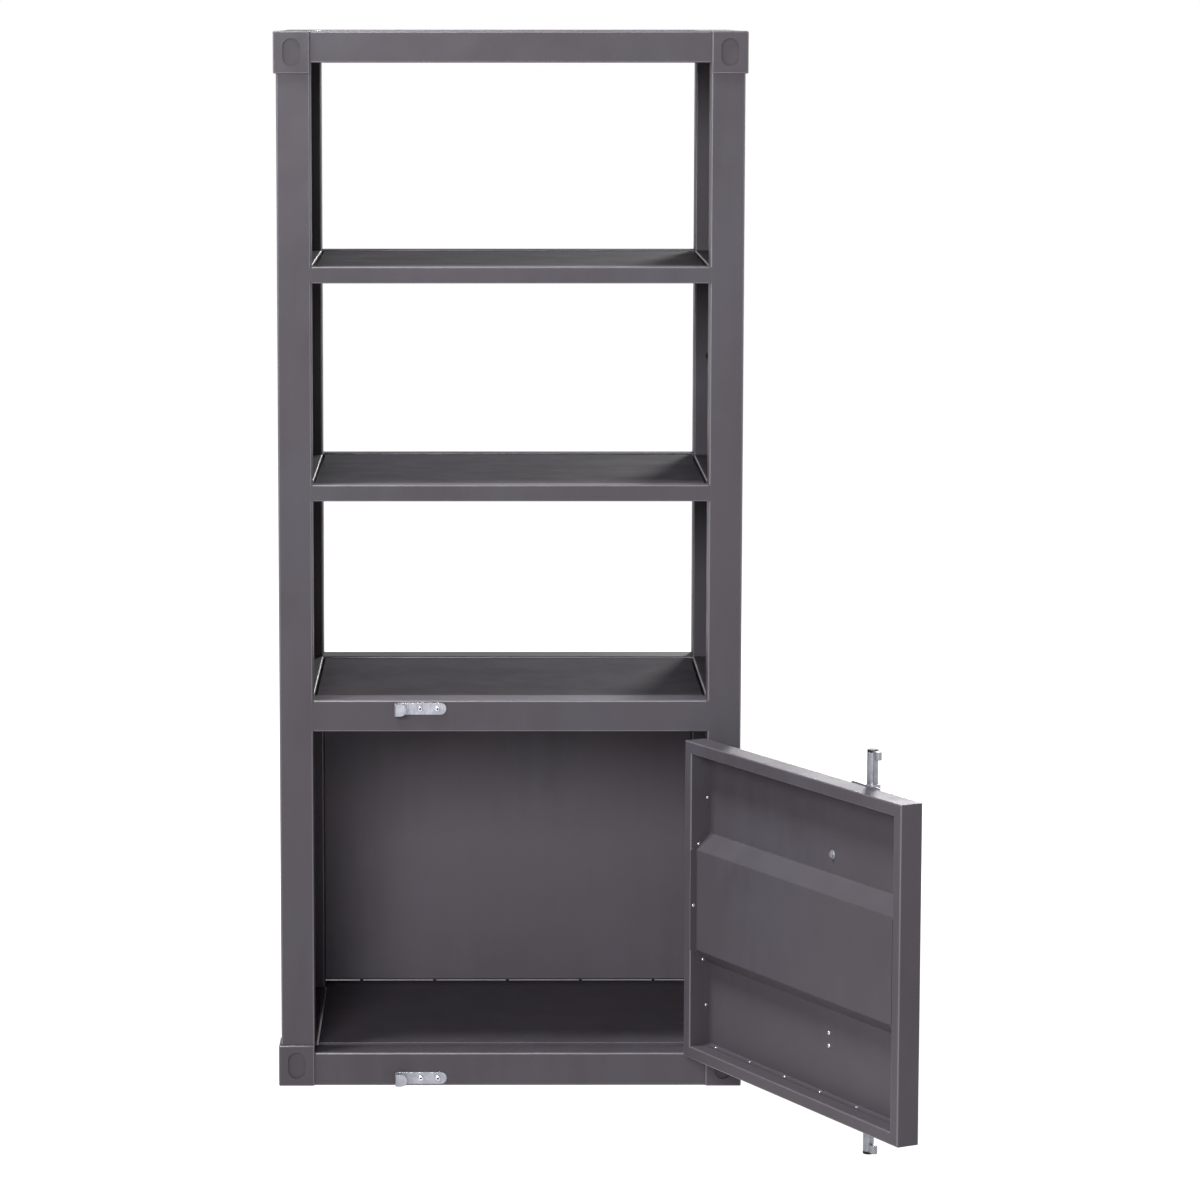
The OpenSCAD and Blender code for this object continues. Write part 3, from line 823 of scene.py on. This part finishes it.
class BOOKCASE_OT_trays(bpy.types.Operator):
    """Make the folded trays: the top, the shelves and the cabinet's top and floor"""

    bl_idname = "bookcase.trays"
    bl_label = "Shelf trays"

    def execute(self, context):
        for node in TRAYS + ("cabinet_back_panel",):
            # Trays take the matt copy and the back panel the back copy; both are lifted in colour,
            # which is painted light.
            materials = MATT_PAINT_PAINTED_LIGHT if node in TRAYS else BACK_PAINT_PAINTED_LIGHT
            piece = rounded_copy(node, materials, settings().sheet_edge, 2)
            install(piece, "carcass", "gunmetal_paint", node)
        return {"FINISHED"}


class BOOKCASE_OT_side_walls(bpy.types.Operator):
    """Press the side walls into waves"""

    bl_idname = "bookcase.side_walls"
    bl_label = "Side walls"

    def execute(self, context):
        tree = wave_tree()
        for node in ("side_panels_upper", "side_panels_lower"):
            boxes = solid_boxes(node)
            for low, high in boxes:
                side = 1 if low.x > 0 else -1
                name = f"{node}_{'right' if side > 0 else 'left'}_waved"
                piece = self.pressed(tree, name, low, high, side)
                install(piece, "carcass", "gunmetal_paint", node)
        return {"FINISHED"}

    @staticmethod
    def pressed(tree, name, low, high, side):
        """One wall, from a fine flat sheet just inside the posts' outer faces."""
        crest_x = (high.x if side > 0 else low.x) - side * SHEET / 2
        columns, rows = 288, 2
        bm = bmesh.new()
        grid = [[bm.verts.new((crest_x, low.y + (high.y - low.y) * c / columns,
                               low.z + (high.z - low.z) * r / rows))
                 for c in range(columns + 1)] for r in range(rows + 1)]
        for r in range(rows):
            for c in range(columns):
                corners = (grid[r][c], grid[r][c + 1], grid[r + 1][c + 1], grid[r + 1][c])
                bm.faces.new(corners if side > 0 else tuple(reversed(corners)))
        piece = object_from(name, bm, ())
        depth = (high.x - low.x) - SHEET
        run_tree(piece, tree, {
            "Pitch": (high.y - low.y) / settings().wave_count, "Start": low.y,
            "Depth": -side * depth, "Material": shared("gunmetal")})
        solidify(piece, SHEET, 0.0)
        return soften(piece, 50)


class BOOKCASE_OT_ground_welds(bpy.types.Operator):
    """Fill the joints between the rails and the posts with ground-down weld"""

    bl_idname = "bookcase.ground_welds"
    bl_label = "Ground welds"

    def execute(self, context):
        bm = bmesh.new()
        for node in WIDE_RAILS + SHELF_RAILS:
            low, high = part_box(node)
            face_y = low.y if "front" in node else high.y
            inward = 1 if "front" in node else -1
            for end_x, side in ((low.x, -1), (high.x, 1)):
                self.weld(bm, end_x, side, face_y, inward, low.z, high.z)
        piece = object_from("ground_welds", bm, ("gunmetal",))
        soften(piece)
        install(piece, "carcass", "gunmetal_paint")
        return {"FINISHED"}

    @staticmethod
    def weld(bm, end_x, side, face_y, inward, z0, z1):
        """One flush bead in the groove at a rail's end, with its own slightly proud crown."""
        reach = settings().tube_radius * 1.05
        peak = 0.4 * reach
        shallow = settings().small_tube_radius * 0.35
        foot = shallow + 1.4 * MM
        lap, dip, crown = 1.6 * MM, 0.02 * MM, 0.03 * MM
        ring = (
            (end_x - side * lap, face_y + inward * dip),
            (end_x + side * peak, face_y - inward * crown),
            (end_x + side * reach, face_y + inward * dip),
            (end_x + side * reach, face_y + inward * foot),
            (end_x - side * lap, face_y + inward * foot),
        )
        bottom = [bm.verts.new((x, y, z0 + shallow)) for x, y in ring]
        top = [bm.verts.new((x, y, z1 - shallow)) for x, y in ring]
        count = len(ring)
        faces = [bm.faces.new((bottom[i], bottom[(i + 1) % count], top[(i + 1) % count], top[i]))
                 for i in range(count)]
        faces += [bm.faces.new(bottom), bm.faces.new(top)]
        bmesh.ops.recalc_face_normals(bm, faces=faces)


class BOOKCASE_OT_door_frame(bpy.types.Operator):
    """Make the door's mitred frame"""

    bl_idname = "bookcase.door_frame"
    bl_label = "Door frame"

    def execute(self, context):
        turn = closed_to_rest()
        hinge_low, hinge_high = closed_box("door_hinge_stile")
        free_low, _ = closed_box("door_free_stile")
        _, top_high = closed_box("door_top_rail")
        bottom_low, _ = closed_box("door_bottom_rail")
        bars = {
            "door_hinge_stile": (Z, (X, hinge_high.x)),
            "door_free_stile": (Z, (X, free_low.x)),
            "door_top_rail": (X, (Z, top_high.z)),
            "door_bottom_rail": (X, (Z, bottom_low.z)),
        }
        for node, (run, mitre) in bars.items():
            low, high = closed_box(node)
            if run == X:
                low.x, high.x = free_low.x, hinge_high.x
            low[run] += MITRE_SEAM
            high[run] -= MITRE_SEAM
            bm = bmesh.new()
            add_tube(bm, low, high, run, settings().tube_wall, DOOR_TUBE_RADIUS, mitre)
            piece = object_from(node + "_mitred", bm, PAINT, turn)
            soften(piece)
            install(piece, "door", "gunmetal_paint", node)
        return {"FINISHED"}


class BOOKCASE_OT_door_skin(bpy.types.Operator):
    """Press the door's skin, with its turned edges"""

    bl_idname = "bookcase.door_skin"
    bl_label = "Door skin"

    def execute(self, context):
        turn = closed_to_rest()
        points = closed_points("door_skin")
        low, high = extent(points)
        near = 0.05 * MM
        outer_z = sorted({round(p.z, 5) for p in points if abs(p.y - low.y) < near})
        crest_y = self.crest(points, low, high) - SHEET
        inner_z = sorted({round(p.z, 5) for p in points if abs(p.y - crest_y) < near})
        half = SHEET / 2
        mid_y = low.y + half
        press = [
            (mid_y + SKIN_FLANGE, low.z + half), (mid_y, low.z + half),
            (mid_y, self.nearest_below(outer_z, inner_z[0])), (crest_y + half, inner_z[0]),
            (crest_y + half, inner_z[-1]), (mid_y, self.nearest_above(outer_z, inner_z[-1])),
            (mid_y, high.z - half), (mid_y + SKIN_FLANGE, high.z - half),
        ]
        fold_steps = 5
        path = fillet(press, settings().fold_radius, fold_steps)
        bm = bmesh.new()
        self.sweep(bm, path, low.x, high.x, 24)
        two_folds = 2 * (fold_steps + 1)
        raised = path[two_folds:-two_folds]
        self.turned_edge(bm, raised, low.x + half, SKIN_FLANGE)
        self.turned_edge(bm, raised, high.x - half, SKIN_FLANGE)
        piece = object_from("door_skin_pressed", bm, PAINT, turn)
        solidify(piece, SHEET, 0.0)
        soften(piece, 38)
        install(piece, "door", "gunmetal_paint", "door_skin")
        return {"FINISHED"}

    @staticmethod
    def crest(points, low, high):
        """Inner surface of the raised middle, measured back from the ends of its turned edges."""
        middle_z = (low.z + high.z) / 2
        half_band = 120 * MM
        edge_y = max(p.y for p in points if abs(p.z - middle_z) < half_band)
        return edge_y - (SKIN_FLANGE - SHEET)

    @staticmethod
    def nearest_below(values, limit):
        return max(v for v in values if v < limit)

    @staticmethod
    def nearest_above(values, limit):
        return min(v for v in values if v > limit)

    @staticmethod
    def sweep(bm, path, x0, x1, columns):
        """The pressed sheet, from a path of (y, z) swept along x."""
        grid = [[bm.verts.new((x0 + (x1 - x0) * c / columns, y, z)) for y, z in path]
                for c in range(columns + 1)]
        for c in range(columns):
            for i in range(len(path) - 1):
                bm.faces.new((grid[c][i], grid[c + 1][i], grid[c + 1][i + 1], grid[c][i + 1]))

    @staticmethod
    def turned_edge(bm, path, x, reach):
        """The narrow edge that is turned inward along one side."""
        outer = [bm.verts.new((x, y, z)) for y, z in path]
        inner = [bm.verts.new((x, y + reach, z)) for y, z in path]
        for i in range(len(path) - 1):
            bm.faces.new((outer[i], inner[i], inner[i + 1], outer[i + 1]))


class BOOKCASE_OT_hinges(bpy.types.Operator):
    """Finish the hinges' leaves and pins"""

    bl_idname = "bookcase.hinges"
    bl_label = "Hinges"

    def execute(self, context):
        for node, body in (("hinge_post_leaves", "carcass"), ("hinge_door_leaves", "door")):
            piece = rounded_copy(node, PAINT, 0.35 * MM, 2)
            install(piece, body, "gunmetal_paint", node)
        pins = rounded_copy("hinge_pins", ("zinc_bright",), 0.4 * MM, 3)
        install(pins, "carcass", "zinc_plate", "hinge_pins")
        return {"FINISHED"}


class BOOKCASE_OT_keepers(bpy.types.Operator):
    """Fold the keepers from flat strip, with their open hooks"""

    bl_idname = "bookcase.keepers"
    bl_label = "Keepers"

    def execute(self, context):
        for node in ("keeper_upper", "keeper_lower"):
            low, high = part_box(node)
            piece = self.folded(node + "_folded", low, high)
            install(piece, "carcass", "zinc_plate", node)
        return {"FINISHED"}

    @staticmethod
    def folded(name, low, high):
        """A strip that runs along the rail, turns out and turns back over itself."""
        thick = KEEPER_STRIP
        middle_z, half = (low.z + high.z) / 2, (high.z - low.z) / 2
        plan = [
            (high.x, high.y - thick / 2), (low.x + thick / 2, high.y - thick / 2),
            (low.x + thick / 2, low.y + thick / 2), (low.x + KEEPER_FLAP, low.y + thick / 2),
        ]
        bend, bend_steps = 3.2 * MM, 7
        corners = fillet(plan, bend, bend_steps)
        lengths = [0.0]
        for a, b in zip(corners, corners[1:]):
            lengths.append(lengths[-1] + (b - a).length)
        total = lengths[-1]
        round_steps = 10
        stops = {half * (1 - math.cos(math.pi / 2 * k / round_steps)) for k in range(round_steps + 1)}
        stops |= {total - s for s in stops}
        stops |= set(lengths)
        bm = bmesh.new()
        columns = []
        for s in sorted(stops):
            s = min(max(s, 0.0), total)
            i = max(k for k in range(len(lengths) - 1) if lengths[k] <= s + 1e-9)
            share = (s - lengths[i]) / max(lengths[i + 1] - lengths[i], 1e-9)
            x, y = corners[i].lerp(corners[i + 1], min(share, 1.0))
            edge = min(s, total - s)
            tall = half if edge >= half else math.sqrt(max(half ** 2 - (half - edge) ** 2, 0.0))
            tall = max(tall, 0.4 * MM)
            if columns and (columns[-1][0].co.xy - Vector((x, y))).length < 0.02 * MM:
                continue
            columns.append((bm.verts.new((x, y, middle_z - tall)), bm.verts.new((x, y, middle_z)),
                            bm.verts.new((x, y, middle_z + tall))))
        for left, right in zip(columns, columns[1:]):
            for k in range(2):
                bm.faces.new((left[k], left[k + 1], right[k + 1], right[k]))
        piece = object_from(name, bm, ZINC)
        solidify(piece, thick, 0.0)
        bevel = piece.modifiers.new("Edges", "BEVEL")
        bevel.width = 0.35 * MM
        bevel.segments = 2
        bevel.limit_method = "ANGLE"
        bevel.angle_limit = math.radians(50)
        # The rounded edges take the brighter zinc: a painted highlight.
        bevel.material = 1
        settle(piece)
        return soften(piece, 40)


class BOOKCASE_OT_screws(bpy.types.Operator):
    """Set every screw head on its seat"""

    bl_idname = "bookcase.screws"
    bl_label = "Screws"

    def execute(self, context):
        back = closed_to_rest().inverted()
        turn = closed_to_rest()
        socketed = button_head("socket_head", 0.52, 0.42, 0.34)
        low_head = button_head("low_head", 0.62, 0.36, 0.30)

        front = screw_spots("keeper_screws", (0, -1, 0))
        for spot, _ in front:
            spot.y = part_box("keeper_upper")[1].y - KEEPER_STRIP
        keepers = heads_on("keeper_screw_heads", front, socketed, 4.4 * MM)
        install(keepers, "carcass", "zinc_plate", "keeper_screws")

        self.door_heads("retainer_screw_heads", "retainer_screws", (0, 1, 0), SHEET,
                        low_head, 3.2 * MM, back, turn)
        self.door_heads("guide_bolt_heads", "guide_bolts", (0, -1, 0), 2.5 * MM,
                        socketed, 4.8 * MM, back, turn)
        self.skin_screws(low_head, back, turn)
        self.back_screws()
        for head in (socketed, low_head):
            bpy.data.objects.remove(head)
        return {"FINISHED"}

    @staticmethod
    def door_heads(name, node, direction, seat, head, radius, back, turn):
        """Heads on the door that all face one way, each a seat's depth from its shank's end."""
        spots = [(turn @ (spot + Vector(direction) * seat), turn.to_3x3() @ facing)
                 for spot, facing in screw_spots(node, direction, back)]
        piece = heads_on(name, spots, head, radius)
        install(piece, "door", "zinc_plate", node)

    @staticmethod
    def skin_screws(head, back, turn):
        """The small screws through the skin's turned edges, which face into the door."""
        middle = sum(closed_box("door_skin"), Vector()) / 2
        low, high = closed_box("door_skin")
        spots = []
        for a, b in solid_boxes("door_skin_screws", back):
            centre = (a + b) / 2
            size = b - a
            axis = min((X, Z), key=lambda i: size[i])
            direction = Vector((0, 0, 0))
            direction[axis] = 1 if centre[axis] < middle[axis] else -1
            centre[axis] = (low if direction[axis] > 0 else high)[axis] + direction[axis] * SHEET
            spots.append((turn @ centre, turn.to_3x3() @ direction))
        head_radius = 2.5 * MM
        piece = heads_on("skin_screw_heads", spots, head, head_radius)
        install(piece, "door", "zinc_plate", "door_skin_screws")

    @staticmethod
    def back_screws():
        """The row of black screws in the cabinet's back panel."""
        piece = rounded_copy("back_panel_screws", ("socket_black",), 0.3 * MM, 2)
        install(piece, "carcass", "black_trim", "back_panel_screws")


class BOOKCASE_OT_guides(bpy.types.Operator):
    """Finish the saddles that guide the lock bar, and the handle's retainer"""

    bl_idname = "bookcase.guides"
    bl_label = "Bar guides"

    def execute(self, context):
        for node in ("guide_bracket_upper", "guide_bracket_lower", "handle_retainer"):
            piece = rounded_copy(node, ZINC, 0.7 * MM, 3)
            install(piece, "door", "zinc_plate", node)
        return {"FINISHED"}


class BOOKCASE_OT_lock_bar(bpy.types.Operator):
    """Finish the lock bar, its lugs, its handle and its end caps"""

    bl_idname = "bookcase.lock_bar"
    bl_label = "Lock bar"

    def execute(self, context):
        for node, radius in (("lock_bar", 0.4 * MM), ("bar_lugs", 1.4 * MM), ("lock_handle", 1.2 * MM)):
            # Bar, lugs and handle take the darker zinc copy, painted shade, with plain zinc on their
            # rounded edges.
            piece = rounded_copy(node, BAR_ZINC_PAINTED_SHADE, radius, 3)
            install(piece, "lock_bar_assembly", "zinc_plate", node)
        caps = rounded_copy("bar_end_caps", ("cap_black",), 0.4 * MM, 3)
        install(caps, "lock_bar_assembly", "black_trim", "bar_end_caps")
        return {"FINISHED"}


class BOOKCASE_OT_knob(bpy.types.Operator):
    """Turn the pull knob, and fit its screw inside the door"""

    bl_idname = "bookcase.knob"
    bl_label = "Pull knob"

    def execute(self, context):
        turn = closed_to_rest()
        low, high = closed_box("pull_knob")
        centre = (low + high) / 2
        profile = [(10, 0), (10, 2), (5.6, 4.4), (5.1, 8), (5.2, 12), (6.4, 14.6), (9.5, 15.8),
                   (12.8, 16.9), (14, 19.2), (13.7, 21.6), (12.2, 23.9), (9.4, 25.6), (5, 26.7)]
        outline = [(0, 0)] + [(r * MM, h * MM) for r, h in profile] + [(0, 27 * MM)]
        stand = Matrix.Translation((centre.x, high.y, centre.z)) @ Matrix.Rotation(
            math.radians(90), 4, "X")
        piece = object_from("pull_knob_turned", lathe(outline, 48), ("zinc_bright",), turn @ stand)
        soften(piece, 50)
        install(piece, "door", "zinc_plate", "pull_knob")
        screw = rounded_copy("knob_screw", ZINC, 0.4 * MM, 2)
        install(screw, "door", "zinc_plate", "knob_screw")
        return {"FINISHED"}


class BOOKCASE_OT_stage(bpy.types.Operator):
    """Set the floor, the soft light and the camera"""

    bl_idname = "bookcase.stage"
    bl_label = "Stage"

    def execute(self, context):
        self.floor()
        self.sky()
        self.lamp("key", (-1.0, -5.6, 2.5), (0.1, 0.0, 0.7), 2.2, 430)
        self.lamp("top", (-1.5, -0.5, 4.5), (0.3, -0.2, 0.6), 1.2, 440)
        self.lamp("back", (1.6, 4.9, 3.0), (0.2, 0.0, 0.7), 1.0, 200)
        self.lamp("side", (5.0, 0.9, 2.2), (0.3, 0.2, 0.8), 2.4, 150)
        self.camera()
        context.scene.view_settings.view_transform = "Standard"
        return {"FINISHED"}

    @staticmethod
    def floor():
        bm = bmesh.new()
        bmesh.ops.create_grid(bm, x_segments=1, y_segments=1, size=40)
        bm.transform(Matrix.Translation((0, 20, -0.0005)))
        mesh = bpy.data.meshes.new("studio_floor")
        bm.to_mesh(mesh)
        bm.free()
        mesh.materials.append(floor_white("floor_white"))
        plane = bpy.data.objects.new("studio_floor", mesh)
        bpy.context.scene.collection.objects.link(plane)

    @staticmethod
    def sky():
        world = bpy.data.worlds.new("studio")
        world.use_nodes = True
        tree = world.node_tree
        where = tree.nodes.new("ShaderNodeTexCoord")
        parts = add_node(tree, "ShaderNodeSeparateXYZ", Vector=where.outputs["Generated"])
        height = spread(tree, parts.outputs["Z"], 0.14, 0.5)
        tree.links.new(blend_colours(tree, height, (1, 1, 1), (0.30, 0.30, 0.33)),
                       tree.nodes["Background"].inputs["Color"])
        bpy.context.scene.world = world

    @staticmethod
    def lamp(name, place, target, size, power):
        data = bpy.data.lights.new(name, "AREA")
        data.shape = "DISK"
        data.size = size
        data.energy = power
        lamp = bpy.data.objects.new(name, data)
        lamp.location = place
        lamp.rotation_euler = (Vector(target) - Vector(place)).to_track_quat("-Z", "Y").to_euler()
        bpy.context.scene.collection.objects.link(lamp)

    @staticmethod
    def camera():
        data = bpy.data.cameras.new("camera")
        data.lens = 125.3
        data.sensor_width = 36
        data.shift_x = 0.0977
        data.shift_y = -0.06
        data.clip_end = 200
        camera = bpy.data.objects.new("camera", data)
        camera.location = (-0.053, -6.279, 1.633)
        camera.rotation_euler = (math.radians(90 - 7.034), 0, math.radians(-0.104))
        bpy.context.scene.collection.objects.link(camera)
        bpy.context.scene.camera = camera


OPERATORS = (
    BOOKCASE_OT_posts, BOOKCASE_OT_rails, BOOKCASE_OT_castings, BOOKCASE_OT_trays,
    BOOKCASE_OT_side_walls, BOOKCASE_OT_ground_welds, BOOKCASE_OT_door_frame,
    BOOKCASE_OT_door_skin, BOOKCASE_OT_hinges, BOOKCASE_OT_keepers, BOOKCASE_OT_screws,
    BOOKCASE_OT_guides, BOOKCASE_OT_lock_bar, BOOKCASE_OT_knob, BOOKCASE_OT_stage,
)


class BOOKCASE_PT_panel(bpy.types.Panel):
    """The bookcase's settings and the steps that build it"""

    bl_idname = "BOOKCASE_PT_panel"
    bl_label = "Container Bookcase"
    bl_space_type = "VIEW_3D"
    bl_region_type = "UI"
    bl_category = "Bookcase"

    def draw(self, context):
        for name in BookcaseSettings.__annotations__:
            self.layout.prop(context.scene.bookcase, name)
        for operator in OPERATORS:
            self.layout.operator(operator.bl_idname)


def register():
    for cls in (BookcaseSettings, *OPERATORS, BOOKCASE_PT_panel):
        bpy.utils.register_class(cls)
    bpy.types.Scene.bookcase = bpy.props.PointerProperty(type=BookcaseSettings)


def unregister():
    del bpy.types.Scene.bookcase
    for cls in reversed((BookcaseSettings, *OPERATORS, BOOKCASE_PT_panel)):
        bpy.utils.unregister_class(cls)


def main():
    register()
    for operator in OPERATORS:
        group, name = operator.bl_idname.split(".")
        getattr(getattr(bpy.ops, group), name)()


if __name__ == "__main__":
    main()
